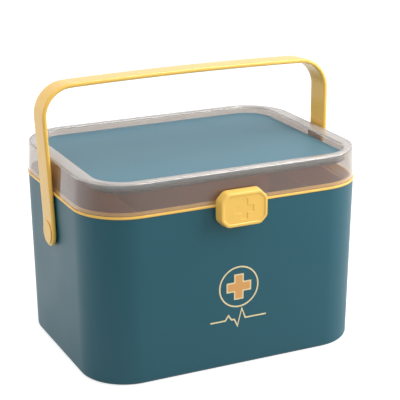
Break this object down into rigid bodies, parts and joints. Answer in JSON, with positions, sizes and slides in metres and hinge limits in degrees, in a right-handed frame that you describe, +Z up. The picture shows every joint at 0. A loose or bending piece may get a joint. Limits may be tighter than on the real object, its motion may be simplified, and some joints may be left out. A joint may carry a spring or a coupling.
{
  "type": "medicine storage box",
  "caption": "Free-standing household medicine box with a hinged see-through lid, a swinging bail handle, a sprung rocker latch and a lift-out divided tray.",
  "frame": {"origin": "middle of the base's underside, midway between the bin's walls", "axes": "+X to the right as seen from the latch, -Y towards the latch (front), +Z up"},
  "size_m": [0.3144, 0.2442, 0.2792],
  "materials": {
    "teal_plastic": "satin",
    "panel_plastic": "satin",
    "yellow_plastic": "satin",
    "smoky_plastic": "glossy, see-through",
    "tray_plastic": "glossy, smoky",
    "steel": "bright"
  },
  "bodies": {
    "box": {"body_shell": "teal_plastic", "rim_frame": "yellow_plastic", "hinge_pin_left": "steel", "hinge_pin_right": "steel", "latch_pin": "steel", "latch_spring": "steel", "handle_cap_left": "yellow_plastic", "handle_cap_right": "yellow_plastic", "handle_screw_left": "steel", "handle_screw_right": "steel"},
    "lid": {"lid_cover": "smoky_plastic", "lid_panel": "panel_plastic"},
    "handle": {"handle_bail": "yellow_plastic"},
    "latch": {"latch_button": "yellow_plastic"},
    "tray": {"upper_tray": "tray_plastic", "tray_divider_left": "tray_plastic", "tray_divider_right": "tray_plastic", "tray_divider_middle": "tray_plastic"}
  },
  "joints": [
    {"name": "lid_open", "type": "hinge", "parent": "box", "child": "lid", "pos_m": [0, 0.11625, 0.171], "axis": [-1, 0, 0], "range_deg": [0, 23]},
    {"name": "handle_swing", "type": "hinge", "parent": "box", "child": "handle", "pos_m": [0, 0, 0.1293], "axis": [1, 0, 0], "range_deg": [-118, 126]},
    {"name": "latch_press", "type": "hinge", "parent": "box", "child": "latch", "pos_m": [0, -0.11705, 0.163], "axis": [1, 0, 0], "range_deg": [0, 7], "stiffness_Nm_per_rad": 0.2, "springref_deg": -5.73, "deforming": ["latch_spring"]},
    {"name": "tray_lift", "type": "slide", "parent": "box", "child": "tray", "axis": [0, 0, 1], "range_m": [0, 0.024]}
  ]
}
